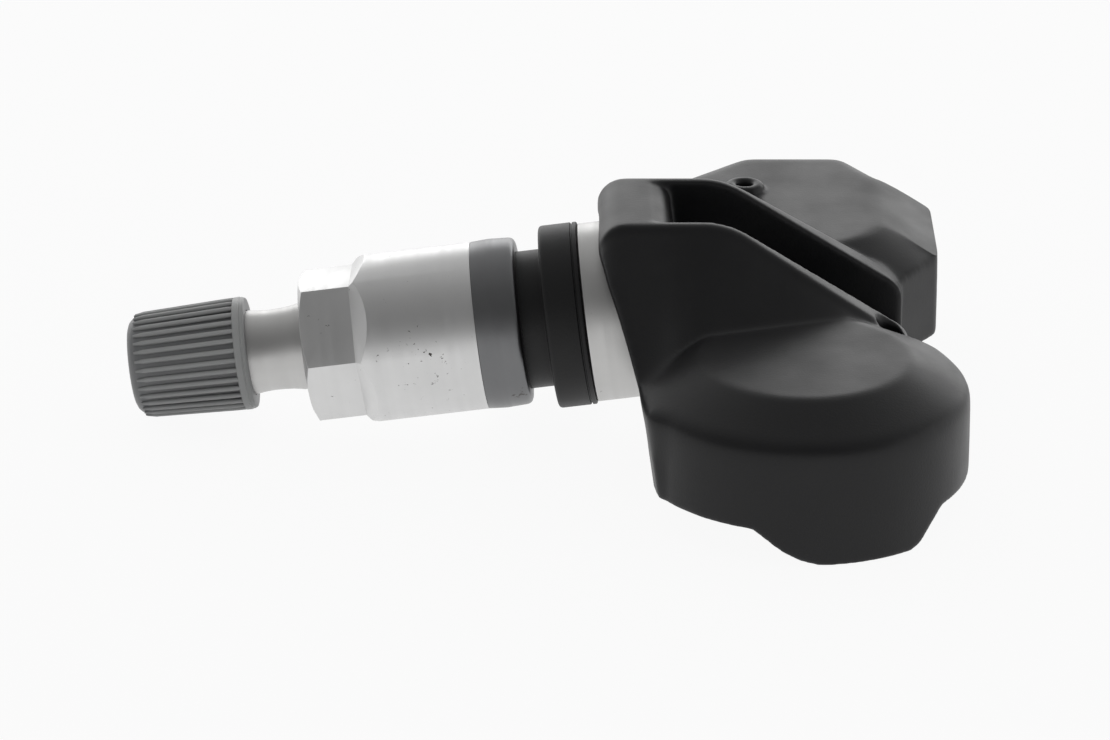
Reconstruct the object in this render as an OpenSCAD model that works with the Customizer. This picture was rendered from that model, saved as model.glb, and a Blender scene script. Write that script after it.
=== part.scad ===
// Tyre pressure sensor with a clamp-in, angle-adjustable aluminium valve.
// The origin is the centre of the wheel rim's hole, at the face that the grommet flange seats on.
// The valve axis leaves it towards -X, dipped by valve_tilt. The housing lies level behind it.

/* [Valve cap] */
// Length of the cap
cap_len = 10.7; // [9:0.1:13]
// Outer radius of the cap at its mouth
cap_mouth_r = 5.05; // [4.9:0.05:5.8]
// Outer radius of the cap at its closed end
cap_tip_r = 4.7; // [4.55:0.05:5.2]
// Radius of the rounded edge at the closed end
cap_edge_r = 1.3; // [0.6:0.1:1.6]
// Length of the plain band at the mouth
cap_band = 1.0; // [0.6:0.1:1.6]
// Number of grip ribs
cap_ribs = 34; // [18:1:40]
// Height of a grip rib
rib_h = 0.22; // [0.1:0.02:0.3]
// Thickness of the cap's end wall
cap_end_wall = 1.2; // [0.9:0.1:1.8]
// Thickness of the seal inside the cap
cap_seal_t = 0.8; // [0.5:0.1:1.2]

/* [Stem] */
// Radius of the stem's outer thread, which the cap screws on
neck_r = 3.75; // [3.6:0.05:3.9]
// Bare length of the stem between nut and cap
neck_len = 4.6; // [4:0.1:7]
// Radius of the stem's main thread, which the union nut runs on
shank_r = 4.97; // [4.7:0.01:5.1]
// Radius of the air passage
air_r = 1.2; // [0.9:0.1:1.5]
// Radius of the bore that holds the valve core
core_bore_r = 2.6; // [2.4:0.05:2.8]
// Radius of the round base flange
base_r = 7.95; // [7.5:0.05:8.3]
// Thickness of the round base flange
base_t = 4.58; // [4:0.1:5.5]
// Radius of the curved foot that swivels in the housing
knuckle_r = 4.6; // [4.2:0.1:5]
// Width of the curved foot
knuckle_w = 10; // [8:0.5:11]

/* [Union nut] */
// Radius of the nut's barrel
barrel_r = 7.45; // [7.2:0.05:8]
// Length of the barrel
barrel_len = 10.1; // [8:0.1:12]
// Hexagon, across its flats
hex_af = 12; // [11:0.5:12.5]
// Length from the barrel's end to the end of the hexagon
hex_len = 5.85; // [5:0.1:8]
// Turn of the hexagon about the valve axis
hex_turn = -24.3; // [-30:0.1:30]
// Running clearance of the nut on its thread
nut_gap = 0.05; // [0.02:0.01:0.09]

/* [Collar and grommet] */
// Length of the pressure collar
collar_len = 3.95; // [3:0.1:5]
// Radius of the pressure collar at its fullest
collar_r = 7.55; // [7.3:0.05:8]
// Radius of the grommet's flange
grommet_r = 8.15; // [7.8:0.05:8.6]
// Thickness of the grommet's flange
grommet_t = 3.42; // [2.8:0.1:4]
// Radius of the grommet's waist, which fills the rim's hole
waist_r = 6.12; // [5.8:0.05:6.5]
// Visible length of the waist
waist_len = 2.22; // [1.5:0.1:4]

/* [Seat and swivel] */
// Dip of the valve's axis below level
valve_tilt = 7.3; // [0:0.1:12]
// How far the tip can swing down
swing_down = 4; // [2:1:5]
// How far the tip can swing up
swing_up = 8; // [4:1:9]
// Clearance around the base flange in its recess
recess_gap = 0.2; // [0.15:0.05:0.3]
// Clearance between the curved foot and its trough
swivel_gap = 0.05; // [0.02:0.01:0.09]
// Wall between the trough and the saddle
seat_wall = 2.35; // [2:0.05:3]
// Thickness of the saddle washer at its middle
saddle_t = 1.7; // [1.2:0.1:2.4]
// Height of the saddle washer
saddle_h = 6; // [5:0.1:6]
// Width of the saddle washer
saddle_w = 8.4; // [7:0.1:9]
// Radius of the clamp screw's thread
screw_r = 1.95; // [1.7:0.05:2.1]
// Length of the clamp screw under its head
screw_len = 9.5; // [8:0.5:11]
// Radius of the clamp screw's head
screw_head_r = 2.8; // [2.5:0.1:3.4]
// Height of the clamp screw's head
screw_head_t = 2.4; // [1.8:0.1:3]

/* [Housing] */
// Height of the nose above the datum on the valve axis
nose_top = 10.5; // [9.5:0.1:12]
// Radius of the nose's front top edge
nose_r = 2.4; // [1.5:0.1:3]
// Distance from the datum to the foot of the nose's front face
nose_front = 0.8; // [0.4:0.1:1.2]
// Half width of the spine at the nose
spine_y = 6.05; // [5.8:0.05:6.6]
// Where the spine's top starts to fall
knee_x = 11; // [10:0.1:13]
// Fall of the spine's top, per millimetre of length
spine_fall = 0.629; // [0.5:0.01:0.7]
// Rear end of the spine
spine_end = 27.2; // [25:0.1:30]
// Width of the groove
groove_w = 9.6; // [8:0.1:10]
// Depth of the groove's floor below the datum
groove_floor = 3.7; // [3:0.1:4]
// Length of the centre line of each lobe behind the datum
lobe_x = 17.4; // [16.5:0.1:19]
// Distance of each lobe's centre from the middle
lobe_y = 17.1; // [16.5:0.1:19]
// Radius of a lobe
lobe_r = 14.3; // [13.5:0.1:15]
// Radius of the flat top of the near lobe
plateau_r = 9.15; // [8:0.05:10]
// Height of the lobes' flat tops
plateau_z = 3; // [2.6:0.1:3.5]
// Height of the fold where the lobe's bevel meets its wall
fold_z = 0.35; // [0:0.05:0.8]
// Depth of the underside below the datum
under_z = 7.25; // [6.8:0.05:8]
// Depth of the feet below the datum
foot_z = 10.25; // [9.5:0.05:11]
// Radial thickness of a foot
foot_t = 2.6; // [2:0.1:3.5]
// Sweep of the front face, per millimetre of width
front_sweep = 0.167; // [0.1:0.01:0.2]

/* [Electronics pod] */
// Far edge of the pod
pod_far = 30.7; // [30:0.1:33]
// Rear edge of the pod
pod_rear = 30.85; // [30:0.05:32]
// Radius of the pod's corners
pod_corner_r = 1.5; // [1:0.1:2]
// Distance of the pod's cut-off rear corner from the lobe's centre
pod_cut = 11.8; // [11.2:0.05:12.5]
// Direction of the cut-off corner, from +X
pod_cut_angle = 31.2; // [25:0.1:40]
// Thickness of the pod's wall
pod_wall = 1.3; // [1:0.1:1.6]
// Height of the port's boss
boss_h = 0.8; // [0.5:0.1:1.2]
// Radius of the port's boss
boss_r = 1.8; // [1.5:0.1:2.2]
// Radius of the pressure port
port_r = 0.75; // [0.5:0.05:1]
// Radius of the jig hole in the near rim
jig_hole_r = 1.22; // [1:0.05:1.3]

/* [Cell and board] */
// Radius of the button cell
cell_r = 10; // [9:0.1:10]
// Height of the button cell
cell_h = 5; // [4:0.1:5]
// Thickness of the base cover
cover_t = 1.2; // [1:0.1:1.5]
// Thickness of the circuit board
board_t = 1; // [0.8:0.1:1.2]
// Radius of the circuit board's round side
board_r = 11.7; // [11:0.1:12]

/* [Hidden] */
$fn = 96;
eps = 0.01;

// Stations along the valve axis, from the rim face towards the tip
waist_end = waist_len;
collar_end = waist_end + collar_len;
barrel_end = collar_end + barrel_len;
nut_end = barrel_end + hex_len;
cap_mouth = nut_end + neck_len;
cap_end = cap_mouth + cap_len;
stem_tip = cap_end - cap_end_wall - cap_seal_t;
base_front = -grommet_t;
base_rear = base_front - base_t;
// The swivel axis lies inside the base flange
pivot = base_rear + 2;
// The housing's datum lies on the valve axis, behind the rim face
datum_t = 4.58;
datum = [datum_t * cos(valve_tilt), 0, datum_t * sin(valve_tilt)];

trough_r = knuckle_r + swivel_gap;
boss_seat_r = trough_r + seat_wall;
saddle_seat_r = boss_seat_r + swivel_gap;
saddle_back = saddle_seat_r + saddle_t;
wall_back = boss_seat_r - 1.2;
slot_r = screw_r + 0.2;
recess_r = base_r * cos(swing_up) + (base_front - pivot) * sin(swing_up) + recess_gap;
screw_bore_r = screw_r + 0.05;
screw_bore_depth = screw_len + 0.3 - (saddle_back - knuckle_r);

nut_bore_r = shank_r + nut_gap;
nut_floor = nut_end - 2.1;
nut_exit_r = neck_r + 0.12;
cap_bore_r = neck_r + 0.07;

// The valve core, in its bore at the tip
core_depth = 14;
core_body_len = 8;
core_top = stem_tip - 0.8;
core_bottom = core_top - core_body_len;
poppet_r = 1.5;
poppet_h = 1.5;
pin_r = 0.45;
pin_head_r = 0.58;
pin_hole_r = 0.65;
spring_r = 0.8;
spring_wire = 0.14;
spring_len = 3.4;
spring_base = core_bottom + 1;

cell_gap = 0.25;
cover_top = -under_z + cover_t;
cell_top = cover_top + 0.3 + cell_h;
board_top = -2.4;
board_y = 6.3;
chamber_top = 1.2;
chamber_r = board_r - 1.3;
strap_t = 0.2;
strap_w = 3;
channel_top = cover_top + 1;
port_pos = [13.5, 21.8];
jig_pos = [25.3, -6.62];
// Places on the board, from the middle of the far lobe
chip_at = [1.8, -5.2];
chip_size = [6, 6, 1.1];
crystal_at = [-4, -4.5];
crystal_size = [5, 3.2, 1.2];
sensor_size = [5, 5, 2.4];
sensor_well_r = 1.5;
antenna_at = [2.4, 2.8];
antenna_size = [3, 8, 2.6];
antenna_waist = 0.5;
winding_len = 4.8;
wire_gap = 0.05;
loop_from = 150;
loop_angle = 85;
loop_h = 2.2;
loop_t = 0.4;
capacitor_size = [1, 1.6, 0.8];
capacitors_at = [[-5.2, -0.6], [-3.6, -0.6], [-2, -0.6], [-0.4, -0.6], [6.4, -3.4], [6.4, -5.6]];
// The flank's foot crosses the edge of the lobe's flat top here, draws in behind it and flares before it
flank_x = 8.7;
flank_y = 12.9;
flank_run = 0.33;
flank_flare = 0.17;
// Where the near lobe's front corner and the pod's front shoulder lie
corner_y = 23.2;
pod_shoulder = 20.2;

// Moves what is drawn along +Z onto the valve axis, with local +X upwards
module on_valve() {
    rotate([0, -(90 + valve_tilt), 0]) children();
}

// The same, with the origin at the swivel axis
module on_pivot() {
    on_valve() translate([0, 0, pivot]) children();
}

// Moves what is drawn from the housing's datum into place
module in_housing() {
    translate(datum) children();
}

// A round bar across the valve axis, centred on the swivel axis
module cross_bar(r, w) {
    rotate([90, 0, 0]) cylinder(r = r, h = w, center = true);
}

// Height of the spine's top at x, before the ends are rounded
function spine_line(x) =
    let (w = 2)
    x < knee_x - w ? nose_top
    : x < knee_x + w ? nose_top - spine_fall * pow(x - knee_x + w, 2) / (4 * w)
    : nose_top - spine_fall * (x - knee_x);

// Drop of a rounded corner of radius r, at distance d inside its edge
function corner_drop(r, d) = d >= r ? 0 : r - sqrt(max(0, r * r - pow(r - max(d, 0), 2)));

function spine_z(x) =
    spine_line(x) - corner_drop(nose_r, x + 0.25) - corner_drop(1.2, spine_end - x) * 0.8;

// Half width of the spine's rim at x
function rim_y(x) = spine_y + 0.135 * max(0, x - 12);

// Where the flank of the spine runs out on the lobe
function foot_y(x) =
    let (behind = x - flank_x)
    max(rim_y(x) + 0.3, 8.4, min(18.5, flank_y - flank_run * behind + flank_flare * pow(min(0, behind), 2)));
function bevel_slope() = (plateau_z - fold_z) / (lobe_r - plateau_r);
function lobe_z(x, y) =
    let (d = norm([x - lobe_x, y - lobe_y]))
    min(plateau_z, plateau_z - (d - plateau_r) * bevel_slope());
function foot_h(x) = min(spine_z(x) - 0.6, max(fold_z, lobe_z(x, foot_y(x))) - 0.05);

// One side of a cross-section of spine and flank at x, from the foot up to the top
function flank_side(x) =
    let (
        top = spine_z(x),
        rim = rim_y(x),
        fy = foot_y(x),
        fz = foot_h(x),
        edge = 0.45,
        low = -2
    )
    concat(
        [[fy + 1.2, low], [fy + 1.2, fz - 0.5]],
        [for (k = [0 : 5])
            let (t = k / 5, sag = 0.35 * sin(180 * sqrt(1 - t)) * min(1, (top - fz) / 6))
            [fy + (rim - fy) * t, fz + (top - edge - fz) * t - sag * (1 - t)]],
        [[rim - 0.3 * edge, top - 0.3 * edge], [rim - edge, top]]
    );

function flank_ring(x) =
    let (side = flank_side(x), n = len(side))
    concat(
        [for (p = side) [x, p[0], p[1]]],
        [for (i = [n - 1 : -1 : 0]) [x, -side[i][0], side[i][1]]]
    );

// A solid through rings of equal length, closed at both ends
module loft(rings) {
    n = len(rings[0]);
    m = len(rings);
    points = [for (ring = rings) each ring];
    sides = [
        for (i = [0 : m - 2])
            for (j = [0 : n - 1])
                let (
                    a = i * n + j,
                    b = i * n + (j + 1) % n,
                    c = a + n,
                    d = b + n
                )
                each [[a, c, b], [b, c, d]]
    ];
    ends = [[for (j = [0 : n - 1]) j], [for (j = [n - 1 : -1 : 0]) (m - 1) * n + j]];
    polyhedron(points, concat(sides, ends), convexity = 6);
}

spine_stations = concat(
    [for (a = [0 : 18 : 90]) -0.25 + nose_r * (1 - cos(a))],
    [4.5, 6.5, 8, 9],
    [for (k = [1 : 5]) 9 + k * 0.8],
    [for (k = [1 : 5]) 13 + k * 1.6],
    [23, 25, 26, 26.5, 26.9, spine_end]
);

module spine_and_flanks() {
    loft([for (x = spine_stations) flank_ring(x)]);
}

// The front corner of the near lobe, which stands out from its circle
module near_corner() {
    corner = [nose_front + front_sweep * (corner_y - spine_y), -corner_y];
    centre = [lobe_x, -lobe_y];
    away = corner - centre;
    turn = atan2(away[1], away[0]) + acos(lobe_r / norm(away)) + 4;
    landing = centre + (lobe_r - 0.3) * [cos(turn), sin(turn)];
    polygon([
        corner, landing, centre, [spine_end - 1, -spine_y - 1], [spine_end - 1, -spine_y + 1],
        [nose_front, -spine_y + 1], [nose_front, -spine_y]
    ]);
}

// Plan of the far lobe: a pod with a cut-off rear corner
module far_plan(inset = 0) {
    r = pod_corner_r - inset;
    far_y = pod_far - pod_corner_r;
    rear_x = pod_rear - pod_corner_r;
    cut = pod_cut - pod_corner_r;
    corners = [
        [nose_front + 0.2 + pod_corner_r, spine_y],
        [nose_front + front_sweep * (pod_shoulder - spine_y) + 0.2 + pod_corner_r, pod_shoulder],
        [lobe_x - 3.2, far_y],
        [lobe_x + (cut - (far_y - lobe_y) * sin(pod_cut_angle)) / cos(pod_cut_angle), far_y],
        [rear_x, lobe_y + (cut - (rear_x - lobe_x) * cos(pod_cut_angle)) / sin(pod_cut_angle)],
        [rear_x, lobe_y - 4.9],
        [spine_end - pod_corner_r - 0.6, spine_y]
    ];
    hull() {
        for (p = corners) translate(p) circle(r = r, $fn = 32);
    }
}

// A round lobe: wall, bevel and flat top, turned about the lobe's centre
module round_lobe(side, base) {
    translate([lobe_x, side * lobe_y, 0])
    rotate_extrude()
    polygon([[0, -base], [lobe_r, -base], [lobe_r, fold_z], [plateau_r, plateau_z], [0, plateau_z]]);
}

// The sector of the far lobe where its round bevel shows
module bevel_sector() {
    translate([lobe_x, lobe_y, fold_z])
    linear_extrude(height = 5)
    polygon([[0, 0], 40 * [cos(22), -sin(22)], [40, -40], [0, -40]]);
}

module near_lobe() {
    round_lobe(-1, foot_z);
    translate([0, 0, -under_z]) linear_extrude(height = under_z + fold_z) near_corner();
}

module far_lobe() {
    difference() {
        hull() {
            translate([0, 0, -foot_z]) linear_extrude(height = foot_z + plateau_z - 0.5) far_plan();
            translate([0, 0, plateau_z - eps]) linear_extrude(height = eps) far_plan(0.5);
        }
        difference() {
            bevel_sector();
            round_lobe(1, 1);
        }
    }
}

// Side view of a foot: a flat sole between sloping ends
module foot_profile() {
    drop = foot_z - under_z;
    polygon([
        [-4.8, -under_z], [-2.5, -under_z - 0.56 * drop], [-0.8, -under_z - 0.86 * drop],
        [0.8, -foot_z], [8.8, -foot_z], [9.55, -under_z - 0.86 * drop],
        [10.5, -under_z - 0.42 * drop], [11.5, -under_z], [11.5, -under_z + 1], [-4.8, -under_z + 1]
    ]);
}

// What is cut away below the underside, around the two feet
module under_cut() {
    difference() {
        translate([-20, -50, -foot_z - 1]) cube([80, 100, foot_z - under_z + 1]);
        difference() {
            translate([lobe_x, -lobe_y, 0]) rotate([90, 0, 0]) linear_extrude(height = 30) foot_profile();
            translate([lobe_x, -lobe_y, -foot_z - 2]) cylinder(r = lobe_r - foot_t, h = foot_z);
        }
        translate([lobe_x - 2, pod_far + 1, 0]) rotate([90, 0, 0])
        linear_extrude(height = foot_t + 1) foot_profile();
    }
}

// What is cut away in front of the nose: planes square to the valve axis, swept back on the flanks
module front_cut() {
    rotate([0, -valve_tilt, 0])
    translate([nose_front, 0, -20])
    linear_extrude(height = 45)
    polygon([
        [-20, -40], [front_sweep * (40 - spine_y), -40], [0, -spine_y], [0, spine_y],
        [front_sweep * (40 - spine_y), 40], [-20, 40]
    ]);
}

// Below the nose the front leans back further, so that the base flange stands free
module chin_cut() {
    translate([nose_front, 0, 0])
    rotate([90, 0, 0])
    linear_extrude(height = 80, center = true)
    polygon([
        [-20, 8.6], [-1.35, 8.6], [1.25, 2.8], [2.17, 0.35], [2.85, -1.5], [3.8, -8], [3.8, -20], [-20, -20]
    ]);
}

// The lip of the nose stands a little further forward than the front face
module nose_lip() {
    intersection() {
        spine_and_flanks();
        translate([-0.25, -spine_y, 7.6]) cube([3, 2 * spine_y, 4]);
    }
}

module groove() {
    difference() {
        intersection() {
            translate([0, -groove_w / 2, -groove_floor])
            cube([spine_end + 10, groove_w, nose_top + groove_floor + 5]);
            translate(-datum) on_pivot()
            translate([-40, -40, -wall_back - 60]) cube([80, 80, 60]);
        }
        translate(-datum) on_pivot() cross_bar(boss_seat_r, groove_w + 1);
    }
}

// Softens the rear top edge of the bridge over the base flange
module bridge_round() {
    r = 1.5;
    pivot_z = -pivot * sin(valve_tilt) - datum[2];
    top = (nose_top - pivot_z - wall_back * sin(valve_tilt)) / cos(valve_tilt);
    translate(-datum) on_pivot()
    translate([top, 0, -wall_back])
    difference() {
        translate([-r, -groove_w / 2, -eps]) cube([2 * r, groove_w, r + eps]);
        translate([-r, 0, r]) cross_bar(r, groove_w + 2);
    }
}

// A side view in the plane of the valve axis, given as [up, towards the tip], drawn across the housing
module across(width) {
    rotate([90, 0, 0]) linear_extrude(height = width, center = true) children();
}

// The recess for the base flange, opened out over the whole swing
module base_recess() {
    rear = base_rear - pivot - recess_gap;
    side = recess_r + 1;
    translate(-datum) on_pivot()
    intersection() {
        translate([0, 0, -base_r]) cylinder(r = recess_r, h = 2 * base_r);
        across(2 * side)
        polygon([
            [side, base_r + 1], [side, rear - side * sin(swing_up)], [0, rear],
            [-side, rear - side * sin(swing_down)], [-side, base_r + 1]
        ]);
    }
}

// The slot that lets the clamp screw swing
module screw_slot() {
    near = 2;
    far = boss_seat_r + 3;
    translate(-datum) on_pivot()
    across(2 * slot_r)
    polygon([
        [slot_r + near * tan(swing_down), -near], [slot_r + far * tan(swing_down), -far],
        [-slot_r - far * tan(swing_up), -far], [-slot_r - near * tan(swing_up), -near]
    ]);
}

// The board's outline: round, with one side along the groove and one along the cut-off corner
module board_plan(r, y0, wall) {
    intersection() {
        translate([lobe_x, lobe_y]) circle(r = r);
        translate([0, y0]) square([50, 50]);
        translate([lobe_x, lobe_y]) rotate([0, 0, pod_cut_angle])
        translate([-50 + pod_cut - wall, -50]) square([50, 100]);
    }
}

module cell_pocket() {
    translate([lobe_x, -lobe_y, cover_top - eps])
    cylinder(r = cell_r + cell_gap, h = cell_top - cover_top + eps);
}

module board_chamber() {
    translate([0, 0, cover_top - eps]) linear_extrude(height = board_top - cover_top + eps)
    board_plan(board_r + 0.2, board_y, pod_wall);
    translate([0, 0, board_top - eps]) linear_extrude(height = chamber_top - board_top + eps)
    board_plan(chamber_r, board_y + 1, pod_wall + 1.5);
}

module strap_channels() {
    for (x = [lobe_x - 5, lobe_x + 5])
        translate([x - strap_w / 2 - 0.3, -lobe_y, cover_top - eps])
        cube([strap_w + 0.6, lobe_y + board_y + 1, channel_top - cover_top + eps]);
}

module cover_plan(gap = 0) {
    translate([lobe_x, -lobe_y]) circle(r = cell_r + 1.2 + gap);
    translate([lobe_x - 7.5 - gap, -lobe_y]) square([15 + 2 * gap, 2 * lobe_y]);
    board_plan(board_r - 0.1 + gap, board_y - 1.5 - gap, pod_wall + 0.3 - gap);
}

module housing_shell() {
    color([0.09, 0.09, 0.095])
    in_housing()
    difference() {
        union() {
            difference() {
                union() {
                    spine_and_flanks();
                    near_lobe();
                    far_lobe();
                    translate([0, -spine_y, -under_z]) cube([spine_end, 2 * spine_y, under_z - 1]);
                }
                front_cut();
                chin_cut();
                under_cut();
            }
            nose_lip();
            translate([port_pos[0], port_pos[1], plateau_z - 1]) cylinder(r = boss_r, h = boss_h + 1);
        }
        groove();
        bridge_round();
        base_recess();
        translate(-datum) on_pivot() cross_bar(trough_r, knuckle_w + 0.4);
        screw_slot();
        translate([port_pos[0], port_pos[1], 0]) cylinder(r = port_r, h = 10);
        translate([jig_pos[0], jig_pos[1], -4]) cylinder(r = jig_hole_r, h = 20);
        cell_pocket();
        board_chamber();
        strap_channels();
        translate([0, 0, -under_z - eps]) linear_extrude(height = cover_t + eps) cover_plan(0.1);
    }
}

module base_cover() {
    color([0.12, 0.12, 0.13])
    in_housing()
    translate([0, 0, -under_z]) linear_extrude(height = cover_t) cover_plan();
}

module button_cell() {
    color([0.75, 0.76, 0.78])
    in_housing()
    translate([lobe_x, -lobe_y, cell_top - cell_h])
    rotate_extrude()
    polygon([
        [0, 0], [cell_r - 1.5, 0], [cell_r - 1.3, 0.25], [cell_r - 0.3, 0.25], [cell_r, 0.6],
        [cell_r, cell_h - 0.3], [cell_r - 0.3, cell_h], [0, cell_h]
    ]);
}

// A flat strap under the cell that rises to the underside of the board
module strap(x, y0) {
    under_cell = cell_top - cell_h;
    translate([x - strap_w / 2, y0, under_cell - strap_t])
    cube([strap_w, board_y + 2 - y0, strap_t]);
    translate([x - strap_w / 2, board_y + 2 - strap_t, under_cell - strap_t])
    cube([strap_w, strap_t, board_top - board_t - under_cell + strap_t]);
}

module plus_strap() {
    color([0.8, 0.78, 0.7]) in_housing() strap(lobe_x - 5, -lobe_y + 2);
}

module minus_strap() {
    color([0.8, 0.78, 0.7]) in_housing() strap(lobe_x + 5, -lobe_y + 2);
}

module circuit_board() {
    color([0.1, 0.35, 0.2])
    in_housing()
    translate([0, 0, board_top - board_t]) linear_extrude(height = board_t)
    board_plan(board_r, board_y + 0.2, pod_wall + 0.2);
}

module on_board(place) {
    in_housing() translate([place[0], place[1], board_top]) children();
}

module on_pod(place) {
    on_board([lobe_x, lobe_y] + place) children();
}

// A block that stands on the board, centred on its place
module block(size) {
    translate([-size[0] / 2, -size[1] / 2, 0]) cube(size);
}

module pressure_sensor() {
    color([0.55, 0.56, 0.6])
    on_board(port_pos)
    difference() {
        block(sensor_size);
        translate([0, 0, sensor_size[2] - 1]) cylinder(r = sensor_well_r, h = 2);
    }
}

module port_membrane() {
    color([0.9, 0.9, 0.88])
    in_housing()
    translate([port_pos[0], port_pos[1], chamber_top - 0.3]) cylinder(r = 1.9, h = 0.3);
}

module controller_chip() {
    color([0.13, 0.13, 0.14]) on_pod(chip_at) block(chip_size);
}

module timing_crystal() {
    color([0.8, 0.8, 0.8]) on_pod(crystal_at) block(crystal_size);
}

// A ferrite bar with a waist all round for the winding
module antenna_core() {
    w = antenna_size[0];
    h = antenna_size[2];
    waist = winding_len + 0.2;
    color([0.2, 0.19, 0.19])
    on_pod(antenna_at)
    difference() {
        block(antenna_size);
        for (s = [-1, 1])
            translate([s * w / 2, 0, h / 2]) cube([2 * antenna_waist, waist, h + 2], center = true);
        for (z = [0, h]) translate([0, 0, z]) cube([w + 1, waist, 2 * antenna_waist], center = true);
    }
}

module antenna_winding() {
    w = antenna_size[0];
    h = antenna_size[2];
    inner = antenna_waist - wire_gap;
    color([0.75, 0.4, 0.2])
    on_pod(antenna_at)
    difference() {
        translate([0, 0, 2 * wire_gap]) block([w - 2 * wire_gap, winding_len, h - 4 * wire_gap]);
        translate([0, 0, inner]) block([w - 2 * inner, winding_len + 1, h - 2 * inner]);
    }
}

module radio_loop() {
    color([0.8, 0.7, 0.4])
    on_pod([0, 0])
    rotate([0, 0, loop_from])
    rotate_extrude(angle = loop_angle)
    translate([chamber_r - 0.5 - loop_t, 0]) square([loop_t, loop_h]);
}

module board_capacitors() {
    color([0.7, 0.6, 0.45])
    for (place = capacitors_at) on_pod(place) block(capacitor_size);
}

module valve_stem() {
    color([0.78, 0.79, 0.8])
    on_valve()
    difference() {
        union() {
            rotate_extrude()
            polygon([
                [0, base_rear], [base_r - 0.3, base_rear], [base_r, base_rear + 0.3],
                [base_r, base_front - 0.15], [base_r - 0.15, base_front], [shank_r, base_front],
                [shank_r, nut_floor - 0.9], [neck_r, nut_floor - 0.1], [neck_r, stem_tip - 0.4],
                [neck_r - 0.4, stem_tip], [0, stem_tip]
            ]);
            intersection() {
                translate([0, 0, pivot]) cross_bar(knuckle_r, knuckle_w);
                translate([-10, -10, base_rear - 10]) cube([20, 20, 11]);
            }
        }
        translate([0, 0, base_rear - 10]) cylinder(r = air_r, h = 60);
        translate([0, 0, pivot - knuckle_r - 1]) cylinder(r = screw_bore_r, h = screw_bore_depth + 1);
        translate([0, 0, stem_tip - core_depth]) cylinder(r = core_bore_r, h = core_depth + 1);
    }
}

module clamp_screw() {
    color([0.6, 0.62, 0.65])
    on_pivot()
    difference() {
        translate([0, 0, -saddle_back - screw_head_t])
        rotate_extrude()
        polygon([
            [0, 0], [screw_head_r - 0.4, 0], [screw_head_r, 0.4], [screw_head_r, screw_head_t],
            [screw_r, screw_head_t], [screw_r, screw_head_t + screw_len - 0.5],
            [screw_r - 0.5, screw_head_t + screw_len], [0, screw_head_t + screw_len]
        ]);
        translate([0, 0, -saddle_back - screw_head_t - 1]) cylinder(r = 0.7, h = 30);
        translate([0, 0, -saddle_back - screw_head_t - 1]) {
            cylinder(r = 1.15, h = 2.6);
            for (a = [0 : 60 : 300])
                rotate([0, 0, a]) translate([1.2, 0, 0]) cylinder(r = 0.32, h = 2.6, $fn = 16);
        }
    }
}

module screw_saddle() {
    color([0.7, 0.71, 0.73])
    on_pivot()
    difference() {
        translate([-saddle_h / 2, -saddle_w / 2, -saddle_back]) cube([saddle_h, saddle_w, saddle_t + 2]);
        cross_bar(saddle_seat_r, 20);
        translate([0, 0, -saddle_back - 1]) cylinder(r = screw_r + 0.1, h = 10);
    }
}

module rim_grommet() {
    color([0.05, 0.05, 0.05])
    on_valve()
    rotate_extrude()
    polygon([
        [shank_r + 0.02, -grommet_t], [grommet_r - 0.35, -grommet_t], [grommet_r, -grommet_t + 0.35],
        [grommet_r, -0.3], [grommet_r - 0.3, 0], [waist_r, 0], [waist_r, waist_end + 1.1],
        [waist_r - 0.3, waist_end + 1.4], [shank_r + 0.02, waist_end + 1.4]
    ]);
}

module pressure_collar() {
    color([0.2, 0.2, 0.21])
    on_valve()
    rotate_extrude()
    polygon([
        [waist_r + 0.05, waist_end], [collar_r - 0.9, waist_end], [collar_r - 0.35, waist_end + 0.3],
        [collar_r - 0.1, waist_end + 0.9], [collar_r, waist_end + 1.8], [collar_r, waist_end + 2.9],
        [collar_r - 0.1, collar_end], [shank_r + 0.05, collar_end], [shank_r + 0.05, waist_end + 1.5],
        [waist_r + 0.05, waist_end + 1.5]
    ]);
}

module hex_bar(r_flat, h) {
    cylinder(r = r_flat / cos(30), h = h, $fn = 6);
}

module union_nut() {
    flare = barrel_r - hex_af / 2 + 0.3;
    color([0.8, 0.81, 0.82])
    on_valve()
    difference() {
        union() {
            translate([0, 0, collar_end]) cylinder(r = barrel_r, h = barrel_len - 0.6);
            intersection() {
                translate([0, 0, barrel_end - 2]) cylinder(r = barrel_r, h = 6);
                translate([0, 0, barrel_end + 1.1 - flare]) rotate([0, 0, hex_turn])
                cylinder(r1 = (hex_af / 2 + flare) / cos(30), r2 = hex_af / 2 / cos(30), h = flare, $fn = 6);
            }
            intersection() {
                translate([0, 0, barrel_end - 2]) rotate([0, 0, hex_turn]) hex_bar(hex_af / 2, hex_len + 2);
                translate([0, 0, barrel_end - 2])
                rotate_extrude()
                polygon([
                    [0, 0], [9, 0], [9, hex_len + 1.2 - (9 - hex_af / 2) * 0.577],
                    [hex_af / 2 - 0.4, hex_len + 2], [0, hex_len + 2]
                ]);
            }
        }
        translate([0, 0, collar_end - 1]) cylinder(r = nut_bore_r, h = nut_floor - collar_end + 1);
        translate([0, 0, collar_end - 1]) cylinder(r = nut_exit_r, h = barrel_len + hex_len + 2);
    }
}

// Outline of the ribbed grip
function rib_points(r, n) = [
    for (i = [0 : n - 1])
        let (step = 360 / n)
        each [
            r * [cos(i * step - 0.3 * step), sin(i * step - 0.3 * step)],
            (r + rib_h) * [cos(i * step - 0.16 * step), sin(i * step - 0.16 * step)],
            (r + rib_h) * [cos(i * step + 0.16 * step), sin(i * step + 0.16 * step)],
            r * [cos(i * step + 0.3 * step), sin(i * step + 0.3 * step)]
        ]
];

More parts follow.
